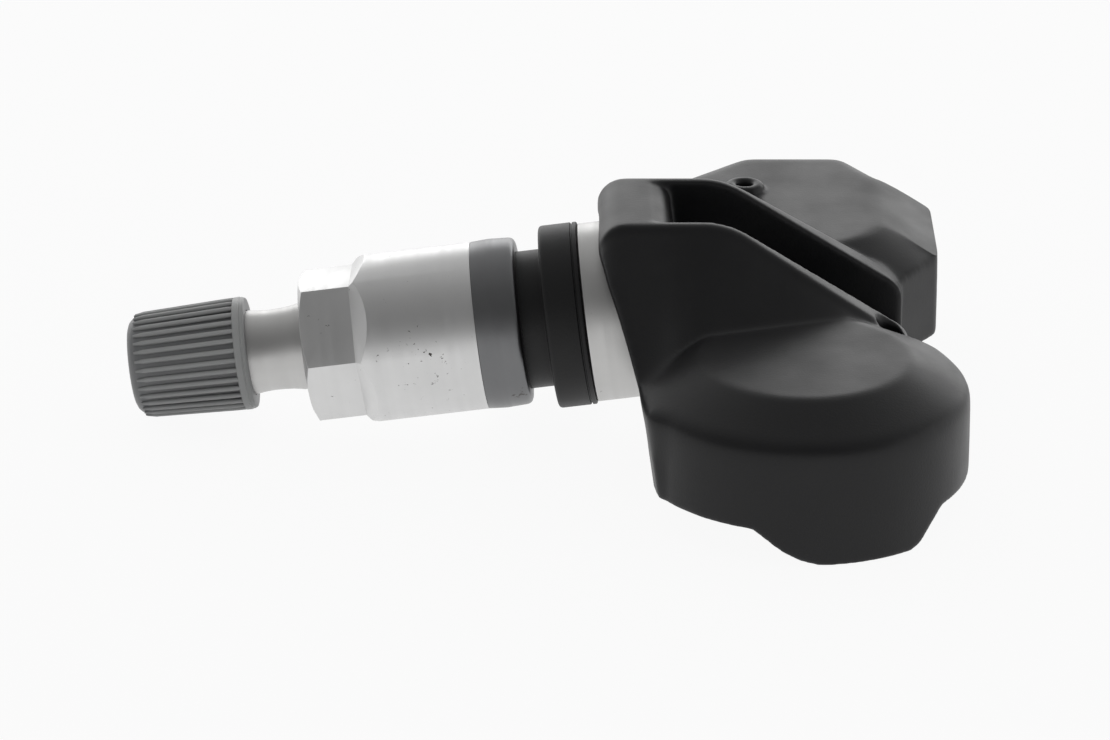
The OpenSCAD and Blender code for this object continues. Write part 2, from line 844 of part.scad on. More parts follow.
module valve_cap() {
    core_r = cap_mouth_r - rib_h;
    rib_len = cap_len - cap_band - cap_edge_r * 0.75;
    color([0.3, 0.31, 0.32])
    on_valve()
    difference() {
        union() {
            translate([0, 0, cap_mouth])
            rotate_extrude()
            polygon(concat(
                [[0, 0], [cap_mouth_r - 0.2, 0], [cap_mouth_r, 0.2], [cap_mouth_r, cap_band],
                    [core_r - 0.05, cap_band + 0.1]],
                [for (a = [0 : 15 : 90])
                    [
                        cap_tip_r - rib_h - cap_edge_r + cap_edge_r * cos(a),
                        cap_len - cap_edge_r + cap_edge_r * sin(a)
                    ]],
                [[0, cap_len]]
            ));
            translate([0, 0, cap_mouth + cap_band - 0.05])
            linear_extrude(height = rib_len, scale = (cap_tip_r - rib_h) / (core_r - 0.05))
            polygon(rib_points(core_r - 0.05, cap_ribs));
        }
        translate([0, 0, cap_mouth - 1]) cylinder(r = cap_bore_r, h = stem_tip + cap_seal_t - cap_mouth + 1);
    }
}

module cap_seal() {
    color([0.55, 0.12, 0.1])
    on_valve()
    translate([0, 0, stem_tip])
    difference() {
        cylinder(r = cap_bore_r - 0.1, h = cap_seal_t);
        translate([0, 0, -1]) cylinder(r = 1.6, h = cap_seal_t + 0.6);
    }
}

module core_body() {
    color([0.78, 0.66, 0.35])
    on_valve()
    difference() {
        rotate_extrude()
        polygon([
            [0, core_bottom], [1.6, core_bottom], [1.6, core_bottom + 1.2], [core_bore_r - 0.9, core_bottom + 3],
            [core_bore_r - 0.03, core_bottom + 4], [core_bore_r - 0.03, core_top - 0.6],
            [1.5, core_top - 0.2], [1.5, core_top], [0, core_top]
        ]);
        translate([0, 0, core_bottom - 1]) cylinder(r = pin_hole_r, h = core_body_len + 2);
        translate([0, 0, spring_base]) cylinder(r = 1.05, h = core_body_len - 2.4);
    }
}

module core_seal() {
    color([0.1, 0.1, 0.1])
    on_valve()
    translate([0, 0, core_bottom + 1.3])
    difference() {
        cylinder(r = core_bore_r - 0.02, h = 1.5);
        translate([0, 0, -1]) cylinder(r = 1.72, h = 4);
    }
}

// Rings of a round wire along a helix
function helix_ring(t, turns, r, wire, h, sides) =
    let (a = 360 * turns * t)
    [for (j = [0 : sides - 1])
        let (b = -360 * j / sides)
        [(r + wire * cos(b)) * cos(a), (r + wire * cos(b)) * sin(a), wire * sin(b) + h * t]];

module core_spring() {
    turns = 6;
    steps = 72;
    color([0.7, 0.7, 0.72])
    on_valve()
    translate([0, 0, spring_base + spring_wire + 0.02])
    loft([
        for (i = [0 : steps])
            helix_ring(i / steps, turns, spring_r, spring_wire, spring_len - 2 * spring_wire - 0.04, 6)
    ]);
}

module core_pin() {
    color([0.82, 0.72, 0.42])
    on_valve()
    rotate_extrude()
    polygon([
        [0, core_bottom - 0.1 - poppet_h], [poppet_r, core_bottom - 0.1 - poppet_h],
        [poppet_r, core_bottom - 0.1], [pin_r, core_bottom - 0.1],
        [pin_r, spring_base + spring_len], [1.0, spring_base + spring_len],
        [1.0, spring_base + spring_len + 0.5], [pin_r, spring_base + spring_len + 0.5],
        [pin_r, stem_tip - 0.4], [pin_head_r, stem_tip - 0.4], [pin_head_r, stem_tip - 0.1], [0, stem_tip - 0.1]
    ]);
}

housing_shell();
base_cover();
button_cell();
plus_strap();
minus_strap();
circuit_board();
pressure_sensor();
port_membrane();
controller_chip();
timing_crystal();
antenna_core();
antenna_winding();
radio_loop();
board_capacitors();
valve_stem();
clamp_screw();
screw_saddle();
rim_grommet();
pressure_collar();
union_nut();
valve_cap();
cap_seal();
core_body();
core_seal();
core_spring();
core_pin();
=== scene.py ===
import math
import bmesh
import bpy
import numpy as np
from mathutils import Matrix, Vector
from mathutils.bvhtree import BVHTree


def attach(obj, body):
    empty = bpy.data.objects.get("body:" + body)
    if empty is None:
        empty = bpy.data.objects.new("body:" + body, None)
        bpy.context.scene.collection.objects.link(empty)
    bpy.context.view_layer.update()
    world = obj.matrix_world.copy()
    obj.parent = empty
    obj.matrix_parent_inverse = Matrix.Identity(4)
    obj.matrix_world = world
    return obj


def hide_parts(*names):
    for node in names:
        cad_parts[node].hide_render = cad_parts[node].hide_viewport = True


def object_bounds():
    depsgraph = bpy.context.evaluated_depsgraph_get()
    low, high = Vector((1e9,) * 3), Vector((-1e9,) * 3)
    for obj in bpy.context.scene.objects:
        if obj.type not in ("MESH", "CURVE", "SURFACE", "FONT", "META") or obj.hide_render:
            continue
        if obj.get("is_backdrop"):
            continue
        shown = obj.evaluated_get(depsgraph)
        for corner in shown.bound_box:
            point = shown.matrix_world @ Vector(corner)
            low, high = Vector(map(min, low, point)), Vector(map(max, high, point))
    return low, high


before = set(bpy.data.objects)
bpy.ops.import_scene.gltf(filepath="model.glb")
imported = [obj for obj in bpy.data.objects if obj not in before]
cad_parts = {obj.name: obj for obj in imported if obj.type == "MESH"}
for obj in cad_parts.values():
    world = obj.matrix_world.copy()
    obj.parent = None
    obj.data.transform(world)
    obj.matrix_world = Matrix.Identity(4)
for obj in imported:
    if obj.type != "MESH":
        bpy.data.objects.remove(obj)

print("stage: frame loaded")
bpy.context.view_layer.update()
mm = 0.001

# The valve's axis leaves the origin towards -X and dips. On the valve, local +Z runs to the tip and local +X is up.
valveTilt = 7.3
valvePlace = Matrix.Rotation(math.radians(-(90 + valveTilt)), 4, "Y")
datum = Vector((4.543, 0.0, 0.582))  # the housing's datum, in millimetres


# Node helpers. A setting that isn't a property of the node is the value of its input of that name.
def addNode(tree, kind, at, **settings):
    node = tree.nodes.new(kind)
    node.location = at
    for key, value in settings.items():
        if hasattr(node, key):
            setattr(node, key, value)
        else:
            node.inputs[key.replace("_", " ")].default_value = value
    return node


def newGroup(name, inputs, outputs):
    group = bpy.data.node_groups.new(name, "ShaderNodeTree")
    for label, kind, value in inputs:
        socket = group.interface.new_socket(label, in_out="INPUT", socket_type=kind)
        if value is not None:
            socket.default_value = value
    for label, kind in outputs:
        group.interface.new_socket(label, in_out="OUTPUT", socket_type=kind)
    return group, addNode(group, "NodeGroupInput", (-1100, 0)), addNode(group, "NodeGroupOutput", (600, 0))


number = "NodeSocketFloat"
vector = "NodeSocketVector"


# Moulded or blasted skin: fine height, and a slow change of tone
def makeSkinGroup():
    group, given, out = newGroup(
        "mouldedSkin",
        [("Vector", vector, None), ("Grains per mm", number, 6.0), ("Blotches per mm", number, 0.2)],
        [("Height", number), ("Tone", number)],
    )
    scaled = addNode(group, "ShaderNodeVectorMath", (-850, 0), operation="SCALE")
    scaled.inputs["Scale"].default_value = 1 / mm
    fine = addNode(group, "ShaderNodeTexNoise", (-600, 200), Detail=3.0, Roughness=0.6)
    slow = addNode(group, "ShaderNodeTexNoise", (-600, -150), Detail=4.0, Roughness=0.55)
    group.links.new(given.outputs["Vector"], scaled.inputs[0])
    for noise, label in ((fine, "Grains per mm"), (slow, "Blotches per mm")):
        group.links.new(scaled.outputs[0], noise.inputs["Vector"])
        group.links.new(given.outputs[label], noise.inputs["Scale"])
    group.links.new(fine.outputs["Fac"], out.inputs["Height"])
    group.links.new(slow.outputs["Fac"], out.inputs["Tone"])
    return group


# Rings left by turning, along the piece's own Z: height and a faint tone
def makeTurnedGroup():
    group, given, out = newGroup(
        "turnedRings",
        [("Vector", vector, None), ("Rings per mm", number, 7.0)],
        [("Height", number), ("Tone", number)],
    )
    split = addNode(group, "ShaderNodeSeparateXYZ", (-850, 0))
    scaled = addNode(group, "ShaderNodeMath", (-680, 0), operation="MULTIPLY")
    scaled.inputs[1].default_value = 1 / mm
    noise = addNode(group, "ShaderNodeTexNoise", (-450, 0), noise_dimensions="1D", Detail=2.0, Roughness=0.7)
    slow = addNode(group, "ShaderNodeTexNoise", (-450, -250), noise_dimensions="1D", Scale=0.9, Detail=2.0)
    group.links.new(given.outputs["Vector"], split.inputs[0])
    group.links.new(split.outputs["Z"], scaled.inputs[0])
    group.links.new(scaled.outputs[0], noise.inputs["W"])
    group.links.new(scaled.outputs[0], slow.inputs["W"])
    group.links.new(given.outputs["Rings per mm"], noise.inputs["Scale"])
    group.links.new(noise.outputs["Fac"], out.inputs["Height"])
    group.links.new(slow.outputs["Fac"], out.inputs["Tone"])
    return group


# Small dark dings from handling: gathered round a centre, given in millimetres, with a few strays
def makeDingGroup():
    group, given, out = newGroup(
        "handlingMarks",
        [("Vector", vector, None), ("Marks per mm", number, 1.2), ("Centre", vector, (0, 0, 0)),
         ("Reach", number, 5.0), ("Strays", number, 0.1), ("Rarity", number, 0.66)],
        [("Mask", number)],
    )
    scaled = addNode(group, "ShaderNodeVectorMath", (-850, 0), operation="SCALE")
    scaled.inputs["Scale"].default_value = 1 / mm
    marks = addNode(group, "ShaderNodeTexNoise", (-430, 100), Detail=4.0, Roughness=0.62, Distortion=0.6)
    size = addNode(group, "ShaderNodeMapRange", (-220, 100))
    full = addNode(group, "ShaderNodeMath", (-430, -120), operation="ADD")
    full.inputs[1].default_value = 0.03
    away = addNode(group, "ShaderNodeVectorMath", (-640, -350), operation="DISTANCE")
    near = addNode(group, "ShaderNodeMapRange", (-430, -350), From_Min=0.0, To_Min=1.0, To_Max=0.0)
    patch = addNode(group, "ShaderNodeTexNoise", (-430, -620), Scale=0.9, Detail=3.0, Roughness=0.6)
    both = addNode(group, "ShaderNodeMath", (-220, -350), operation="MULTIPLY_ADD")
    where = addNode(group, "ShaderNodeMapRange", (0, -350), From_Min=0.52, From_Max=0.6)
    mask = addNode(group, "ShaderNodeMath", (250, 0), operation="MULTIPLY", use_clamp=True)
    link = group.links.new
    link(given.outputs["Vector"], scaled.inputs[0])
    link(scaled.outputs[0], marks.inputs["Vector"])
    link(given.outputs["Marks per mm"], marks.inputs["Scale"])
    link(marks.outputs["Fac"], size.inputs["Value"])
    link(given.outputs["Rarity"], full.inputs[0])
    link(given.outputs["Rarity"], size.inputs["From Min"])
    link(full.outputs[0], size.inputs["From Max"])
    link(scaled.outputs[0], away.inputs[0])
    link(given.outputs["Centre"], away.inputs[1])
    link(away.outputs["Value"], near.inputs["Value"])
    link(given.outputs["Reach"], near.inputs["From Max"])
    link(scaled.outputs[0], patch.inputs["Vector"])
    link(near.outputs[0], both.inputs[0])
    both.inputs[1].default_value = 0.45
    strays = addNode(group, "ShaderNodeMath", (-430, -850), operation="ADD")
    link(patch.outputs["Fac"], strays.inputs[0])
    link(given.outputs["Strays"], strays.inputs[1])
    link(strays.outputs[0], both.inputs[2])
    link(both.outputs[0], where.inputs["Value"])
    link(size.outputs[0], mask.inputs[0])
    link(where.outputs[0], mask.inputs[1])
    link(mask.outputs[0], out.inputs["Mask"])
    return group


# How far a point lies under the crests of a tapered, ribbed grip: 0 in the grooves, 1 on the crests
def makeCrestGroup():
    group, given, out = newGroup(
        "gripCrests",
        [("Vector", vector, None), ("Radius", number, 5.0), ("Taper per mm", number, 0.03), ("Depth", number, 0.3)],
        [("Mask", number)],
    )
    link = group.links.new
    scaled = addNode(group, "ShaderNodeVectorMath", (-900, 0), operation="SCALE")
    scaled.inputs["Scale"].default_value = 1 / mm
    split = addNode(group, "ShaderNodeSeparateXYZ", (-720, 0))
    flat = addNode(group, "ShaderNodeCombineXYZ", (-540, 100))
    reach = addNode(group, "ShaderNodeVectorMath", (-360, 100), operation="LENGTH")
    crest = addNode(group, "ShaderNodeMath", (-360, -150), operation="MULTIPLY_ADD")
    under = addNode(group, "ShaderNodeMath", (-180, 0), operation="SUBTRACT")
    share = addNode(group, "ShaderNodeMath", (0, 0), operation="DIVIDE")
    mask = addNode(group, "ShaderNodeMath", (180, 0), operation="SUBTRACT", use_clamp=True)
    mask.inputs[0].default_value = 1.0
    link(given.outputs["Vector"], scaled.inputs[0])
    link(scaled.outputs[0], split.inputs[0])
    link(split.outputs["X"], flat.inputs["X"])
    link(split.outputs["Y"], flat.inputs["Y"])
    link(flat.outputs[0], reach.inputs[0])
    link(split.outputs["Z"], crest.inputs[0])
    link(given.outputs["Taper per mm"], crest.inputs[1])
    link(given.outputs["Radius"], crest.inputs[2])
    link(crest.outputs[0], under.inputs[0])
    link(reach.outputs["Value"], under.inputs[1])
    link(under.outputs[0], share.inputs[0])
    link(given.outputs["Depth"], share.inputs[1])
    link(share.outputs[0], mask.inputs[1])
    link(mask.outputs[0], out.inputs["Mask"])
    return group


skinGroup = makeSkinGroup()
crestGroup = makeCrestGroup()
turnedGroup = makeTurnedGroup()
dingGroup = makeDingGroup()


def placed(tree, group, source, at, **values):
    node = addNode(tree, "ShaderNodeGroup", at, node_tree=group)
    for key, value in values.items():
        node.inputs[key.replace("_", " ")].default_value = value
    tree.links.new(source, node.inputs["Vector"])
    return node


def newMaterial(name):
    material = bpy.data.materials.new(name)
    material.use_nodes = True
    tree = material.node_tree
    shader = tree.nodes["Principled BSDF"]
    coords = addNode(tree, "ShaderNodeTexCoord", (-1300, 0))
    return material, tree, shader, coords.outputs["Object"]


def mixed(tree, mask, dark, light, at):
    mix = addNode(tree, "ShaderNodeMix", at, data_type="RGBA")
    mix.inputs[6].default_value = (*dark, 1)
    mix.inputs[7].default_value = (*light, 1)
    tree.links.new(mask, mix.inputs[0])
    return mix


def ranged(tree, value, low, high, at, start=0.3, end=0.7):
    node = addNode(tree, "ShaderNodeMapRange", at, From_Min=start, From_Max=end, To_Min=low, To_Max=high)
    tree.links.new(value, node.inputs["Value"])
    return node


def bumped(tree, shader, height, distance, strength, at=(-300, -400), before=None):
    bump = addNode(tree, "ShaderNodeBump", at, Strength=strength, Distance=distance)
    tree.links.new(height, bump.inputs["Height"])
    if before:
        tree.links.new(before.outputs["Normal"], bump.inputs["Normal"])
    tree.links.new(bump.outputs["Normal"], shader.inputs["Normal"])
    return bump


# A moulded plastic or rubber: two close tones, fine grain in the surface, uneven gloss
def mouldedMaterial(name, dark, light, roughness, grains=6.0, depth=0.012, blotches=0.2, ior=1.5, specular=0.5):
    material, tree, shader, coords = newMaterial(name)
    skin = placed(tree, skinGroup, coords, (-1000, 0), Grains_per_mm=grains, Blotches_per_mm=blotches)
    tone = mixed(tree, skin.outputs["Tone"], dark, light, (-400, 200))
    rough = ranged(tree, skin.outputs["Tone"], roughness - 0.05, roughness + 0.05, (-600, -100))
    tree.links.new(tone.outputs[2], shader.inputs["Base Color"])
    tree.links.new(rough.outputs[0], shader.inputs["Roughness"])
    shader.inputs["IOR"].default_value = ior
    shader.inputs["Specular IOR Level"].default_value = specular
    bumped(tree, shader, skin.outputs["Height"], depth * mm, 1.0)
    return material


# A turned metal: rings along the valve's axis, scuffs and small dark dings
def turnedMaterial(name, dark, light, roughness, rings=7.0, depth=0.0015, centre=(0, 0, 0), reach=0.1, strays=-0.02,
                   marks=2.4, rarity=0.645, markTone=(0.07, 0.065, 0.06)):
    material, tree, shader, coords = newMaterial(name)
    turn = addNode(tree, "ShaderNodeMapping", (-1130, 0), vector_type="POINT")
    turn.inputs["Rotation"].default_value = (0, math.radians(90 + valveTilt), 0)
    tree.links.new(coords, turn.inputs["Vector"])
    lathe = placed(tree, turnedGroup, turn.outputs[0], (-950, 200), Rings_per_mm=rings)
    skin = placed(tree, skinGroup, coords, (-950, -100), Grains_per_mm=9.0, Blotches_per_mm=0.35)
    dings = placed(tree, dingGroup, coords, (-950, -350), Marks_per_mm=marks, Centre=centre, Reach=reach,
                   Strays=strays, Rarity=rarity)
    tone = mixed(tree, skin.outputs["Tone"], dark, light, (-500, 250))
    marked = addNode(tree, "ShaderNodeMix", (-250, 250), data_type="RGBA")
    marked.inputs[7].default_value = (*markTone, 1)
    tree.links.new(dings.outputs["Mask"], marked.inputs[0])
    tree.links.new(tone.outputs[2], marked.inputs[6])
    tree.links.new(marked.outputs[2], shader.inputs["Base Color"])
    rough = ranged(tree, lathe.outputs["Tone"], roughness - 0.04, roughness + 0.04, (-500, 0))
    tree.links.new(rough.outputs[0], shader.inputs["Roughness"])
    shader.inputs["Metallic"].default_value = 1.0
    first = bumped(tree, shader, lathe.outputs["Height"], depth * mm, 1.0, (-500, -450))
    bumped(tree, shader, skin.outputs["Height"], 0.002 * mm, 1.0, (-250, -450), first)
    return material


# The cap's plastic: a moulded one with painted shade that darkens it down in the grooves of the grip
def ribbedMaterial(name, dark, light, roughness, paintedGrooveShade, radius, taper, depth, grains=7.0):
    material = mouldedMaterial(name, dark, light, roughness, grains=grains)
    tree = material.node_tree
    shader = tree.nodes["Principled BSDF"]
    coords = tree.nodes["Texture Coordinate"].outputs["Object"]
    turn = addNode(tree, "ShaderNodeMapping", (-1130, 500), vector_type="POINT")
    turn.inputs["Rotation"].default_value = (0, math.radians(90 + valveTilt), 0)
    tree.links.new(coords, turn.inputs["Vector"])
    crests = placed(tree, crestGroup, turn.outputs[0], (-900, 500), Radius=radius, Taper_per_mm=-taper, Depth=depth)
    plain = shader.inputs["Base Color"].links[0].from_socket
    # painted shade: the colour goes to the darker groove colour where the crests mask falls to 0, down in the grooves
    deep = addNode(tree, "ShaderNodeMix", (-150, 400), data_type="RGBA")
    deep.inputs[6].default_value = (*paintedGrooveShade, 1)
    tree.links.new(crests.outputs["Mask"], deep.inputs[0])
    tree.links.new(plain, deep.inputs[7])
    tree.links.new(deep.outputs[2], shader.inputs["Base Color"])
    return material


def sheetMetal(name, dark, light, roughness):
    material, tree, shader, coords = newMaterial(name)
    skin = placed(tree, skinGroup, coords, (-1000, 0), Grains_per_mm=4.0, Blotches_per_mm=0.3)
    tone = mixed(tree, skin.outputs["Tone"], dark, light, (-400, 200))
    tree.links.new(tone.outputs[2], shader.inputs["Base Color"])
    rough = ranged(tree, skin.outputs["Height"], roughness - 0.06, roughness + 0.06, (-600, -100))
    tree.links.new(rough.outputs[0], shader.inputs["Roughness"])
    shader.inputs["Metallic"].default_value = 1.0
    bumped(tree, shader, skin.outputs["Height"], 0.003 * mm, 1.0)
    return material


finish = {
    "housing": mouldedMaterial("housingPlastic", (0.0105, 0.0105, 0.0115), (0.0135, 0.0135, 0.0145), 0.4,
                               grains=5.0, depth=0.012, specular=0.3),
    "potting": mouldedMaterial("pottingResin", (0.016, 0.016, 0.018), (0.022, 0.022, 0.025), 0.4, grains=1.2),
    # the cap's third colour, (0.24, 0.243, 0.247), is painted shade for the grooves of its grip
    "cap": ribbedMaterial("capPlastic", (0.42, 0.427, 0.424), (0.47, 0.477, 0.474), 0.42, (0.24, 0.243, 0.247),
                          radius=5.92, taper=0.0327, depth=0.36),
    "rubber": mouldedMaterial("grommetRubber", (0.008, 0.008, 0.0085), (0.013, 0.013, 0.0135), 0.5, grains=8.0,
                              specular=0.35),
    "collar": turnedMaterial("collarSatin", (0.165, 0.167, 0.172), (0.195, 0.197, 0.2), 0.36, depth=0.0008,
                             centre=(-2.54, -6.02, -4.83), reach=1.3, strays=-0.2, marks=2.2, rarity=0.55),
    "capSeal": mouldedMaterial("sealRubber", (0.3, 0.045, 0.035), (0.36, 0.06, 0.045), 0.5),
    "chip": mouldedMaterial("chipPlastic", (0.02, 0.02, 0.022), (0.03, 0.03, 0.032), 0.5),
    "board": mouldedMaterial("boardResist", (0.012, 0.1, 0.035), (0.02, 0.14, 0.05), 0.32, grains=2.0),
    "membrane": mouldedMaterial("portMembrane", (0.7, 0.7, 0.68), (0.82, 0.82, 0.8), 0.8, grains=12.0),
    "ferrite": mouldedMaterial("ferrite", (0.03, 0.028, 0.028), (0.045, 0.042, 0.042), 0.45),
    "aluminium": turnedMaterial("turnedAluminium", (0.64, 0.64, 0.638), (0.7, 0.7, 0.698), 0.39,
                                centre=(-11.2, -7.3, -1.4), reach=3.2, strays=-0.05),
    "stem": turnedMaterial("stemAluminium", (0.5, 0.497, 0.49), (0.57, 0.567, 0.56), 0.4, strays=-0.12),
    "brass": turnedMaterial("turnedBrass", (0.6, 0.42, 0.16), (0.72, 0.52, 0.22), 0.3),
    "steel": turnedMaterial("platedSteel", (0.5, 0.51, 0.53), (0.6, 0.61, 0.63), 0.32),
    "cell": sheetMetal("cellSteel", (0.58, 0.59, 0.61), (0.66, 0.67, 0.69), 0.28),
    "nickel": sheetMetal("nickelStrip", (0.56, 0.53, 0.47), (0.66, 0.63, 0.57), 0.3),
    "copper": sheetMetal("enamelledCopper", (0.42, 0.16, 0.07), (0.56, 0.23, 0.1), 0.28),
}
print("stage: materials made")


# A clean, welded copy of a CAD node, with flat regions joined into single faces
def mergedCopy(node, name, dissolve=True):
    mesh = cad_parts[node].data.copy()
    piece = bpy.data.objects.new(name, mesh)
    bpy.context.scene.collection.objects.link(piece)
    bm = bmesh.new()
    bm.from_mesh(mesh)
    bmesh.ops.remove_doubles(bm, verts=bm.verts, dist=2e-6)
    if dissolve:
        bmesh.ops.dissolve_limit(bm, angle_limit=math.radians(0.6), verts=bm.verts, edges=bm.edges)
    bm.to_mesh(mesh)
    bm.free()
    mesh.materials.clear()
    return piece


# Applies what modifiers the piece has
def baked(piece):
    graph = bpy.context.evaluated_depsgraph_get()
    mesh = bpy.data.meshes.new_from_object(piece.evaluated_get(graph))
    piece.modifiers.clear()
    piece.data = mesh
    return piece


def dress(piece, material, body, slotName, *nodes):
    piece.data.materials.clear()
    piece.data.materials.append(finish[material])
    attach(piece, body)
    if nodes:
        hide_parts(*nodes)
    return piece


def smoothShaded(piece, angle=None):
    piece.data.shade_smooth()
    if angle is not None:
        bm = bmesh.new()
        bm.from_mesh(piece.data)
        for edge in bm.edges:
            edge.smooth = len(edge.link_faces) == 2 and edge.calc_face_angle(0) < math.radians(angle)
        bm.to_mesh(piece.data)
        bm.free()


# The housing: the CAD shell closed by its cover, rebuilt on a fine grid and softened as a moulding is
housing = {
    "grid": 0.2,
    "firstPasses": 4,
    "passes": 76,
    "crisp": 0.05,
    "edge": 0.13,
    "pod": 0.36,
    "lobe": (17.4, -17.1, 14.3),
    "underside": -7.25,
    "seam": 0.14,
    "seamBand": 0.3,
    "seamDepth": 0.45,
    "faceBudget": 185000,
    "portPlug": (13.5, 21.8, 0.6, 1.3, 1.6),  # x, y, z, radius, height: it keeps the grid out of the port
    "bossRadius": 2.6,
    "facetStart": (26.0, 13.2),
    "facetEnd": (30.9, 11.4),
    "facet": 0.3,
    "facetWidth": (3.4, 1.6),
    "rearSlope": {"from": 25.8, "fall": 0.525, "top": 3.0, "bridge": 9, "near": 12.5, "farEdge": 23.5, "farRun": 1.55,
                  "reach": 2.32},
}


# The pod's top falls towards its rear wall as the lobe's bevel does, and its far corner stands further out
def slopeRear(p):
    rear = housing["rearSlope"]
    behind = np.clip(p[:, 0] - rear["from"], 0, None)
    fall = rear["fall"] * behind
    width = rear["farEdge"] - rear["farRun"] * behind - rear["near"]
    share = np.clip((p[:, 1] - rear["near"]) / np.maximum(width, 0.5), 0, 1)
    p[:, 1] += rear["reach"] * fall * share
    p[:, 2] = np.where((p[:, 1] > rear["bridge"]) & (behind > 0), np.minimum(p[:, 2], rear["top"] - fall), p[:, 2])
    return p


def housingPoints(coordinates):
    return coordinates / mm - np.array(datum)


def ramp(values, start, end):
    return np.clip((values - start) / (end - start), 0, 1)


# Share of the full smoothing at each point: small at crisp rims, full on the fold round the near lobe
def softness(p):
    x, y, z = p[:, 0], p[:, 1], p[:, 2]
    away = np.hypot(x - housing["lobe"][0], y - housing["lobe"][1])
    fold = ramp(-y, 9, 12) * ramp(z, -4.0, -2.0) * np.maximum(ramp(away, 10.6, 12.2), ramp(-x, -6.5, -4.5))
    edges = np.where((np.abs(y) > 7.2) & (z > -3), housing["edge"], housing["crisp"])
    boss = np.hypot(x - housing["portPlug"][0], y - housing["portPlug"][1]) < housing["bossRadius"]
    pod = np.where(boss, housing["crisp"], housing["pod"] * ramp(y, 9.5, 12) * ramp(z, -2.0, 0.5))
    start, end = np.array(housing["facetStart"]), np.array(housing["facetEnd"])
    along = np.clip(((p[:, :2] - start) @ (end - start)) / np.sum((end - start) ** 2), 0, 1)
    apart = np.linalg.norm(p[:, :2] - start - along[:, None] * (end - start), axis=1)
    wide, narrow = housing["facetWidth"]
    facet = housing["facet"] * ramp(-apart, -wide, -narrow) * ramp(z, -2.5, -0.5)
    return np.maximum.reduce([edges * ~boss, fold, pod, facet, np.full(len(p), housing["crisp"])])


# Keeps the faces that hang together with the highest vertex, so that closed hollows go
def outerSkin(mesh):
    bm = bmesh.new()
    bm.from_mesh(mesh)
    top = max(bm.verts, key=lambda v: v.co.z)
    found = {top}
    edge = [top]
    while edge:
        nextEdge = []
        for vert in edge:
            for link in vert.link_edges:
                other = link.other_vert(vert)
                if other not in found:
                    found.add(other)
                    nextEdge.append(other)
        edge = nextEdge
    bmesh.ops.delete(bm, geom=[v for v in bm.verts if v not in found], context="VERTS")
    bm.to_mesh(mesh)
    bm.free()


def makeHousing():
    shell = mergedCopy("housing_shell", "housingShell", dissolve=False)
    bm = bmesh.new()
    bm.from_mesh(shell.data)
    bm.from_mesh(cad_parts["base_cover"].data)
    x, y, z, r, h = housing["portPlug"]
    bmesh.ops.create_cone(bm, cap_ends=True, segments=24, radius1=r * mm, radius2=r * mm, depth=h * mm,
                          matrix=Matrix.Translation((datum + Vector((x, y, z))) * mm))
    bm.to_mesh(shell.data)
    bm.free()
    grid = shell.modifiers.new("grid", "REMESH")
    grid.mode = "VOXEL"
    grid.voxel_size = housing["grid"] * mm
    baked(shell)
    mesh = shell.data
    before = len(mesh.vertices)
    outerSkin(mesh)
    print("stage: housing grid", before, "vertices, outside", len(mesh.vertices))
    co = np.empty(len(mesh.vertices) * 3)
    mesh.vertices.foreach_get("co", co)
    co = co.reshape(-1, 3)
    co = (slopeRear(housingPoints(co)) + np.array(datum)) * mm
    edges = np.empty(len(mesh.edges) * 2, int)
    mesh.edges.foreach_get("vertices", edges)
    a, b = edges.reshape(-1, 2).T
    count = np.bincount(a, minlength=len(co)) + np.bincount(b, minlength=len(co))
    share = (0.5 * softness(housingPoints(co)))[:, None]
    for step in range(housing["firstPasses"] + housing["passes"]):
        mean = np.empty_like(co)
        for k in range(3):
            mean[:, k] = np.bincount(a, co[b, k], len(co)) + np.bincount(b, co[a, k], len(co))
        mean /= count[:, None]
        co += (0.5 if step < housing["firstPasses"] else share) * (mean - co)
    # the base cover's seam: the skin over the cover sinks behind the cover's own face
    p = housingPoints(co)
    coverTree = coverPlan()
    for i in np.where(np.abs(p[:, 2] - housing["underside"]) < housing["seamBand"])[0]:
        if overCover(coverTree, p[i, 0], p[i, 1], housing["seam"]):
            co[i, 2] += housing["seamDepth"] * mm
    mesh.vertices.foreach_set("co", co.ravel())
    mesh.update()
    thinned = shell.modifiers.new("thinned", "DECIMATE")
    thinned.ratio = min(1.0, housing["faceBudget"] / max(1, 2 * len(mesh.polygons)))
    baked(shell)
    smoothShaded(shell)
    print("stage: housing has", len(shell.data.polygons), "faces")
    return dress(shell, "housing", "housing", "housing_plastic", "housing_shell")


def coverPlan():
    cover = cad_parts["base_cover"].data
    return BVHTree.FromPolygons([v.co.copy() for v in cover.vertices], [tuple(f.vertices) for f in cover.polygons])


def overCover(tree, x, y, margin):
    for dx, dy in ((0, 0), (margin, 0), (-margin, 0), (0, margin), (0, -margin)):
        start = (datum + Vector((x + dx, y + dy, -20))) * mm
        if tree.ray_cast(start, Vector((0, 0, 1)))[0]:
            return True
    return False


makeHousing()


# Turned pieces, from profiles of (radius, station, rounding) in millimetres
def roundedProfile(points, steps=5):
    out = []
    for i, (r, t, radius) in enumerate(points):
        here = Vector((r, t))
        if radius <= 0 or i in (0, len(points) - 1):
            out.append(here)
            continue
        before = Vector(points[i - 1][:2]) - here
        after = Vector(points[i + 1][:2]) - here
        half = before.angle(after) / 2
        reach = min(radius / math.tan(half), before.length * 0.49, after.length * 0.49)
        start, end = here + before.normalized() * reach, here + after.normalized() * reach
        for k in range(steps + 1):
            u = k / steps
            out.append(start * (1 - u) ** 2 + here * 2 * u * (1 - u) + end * u ** 2)
    return out


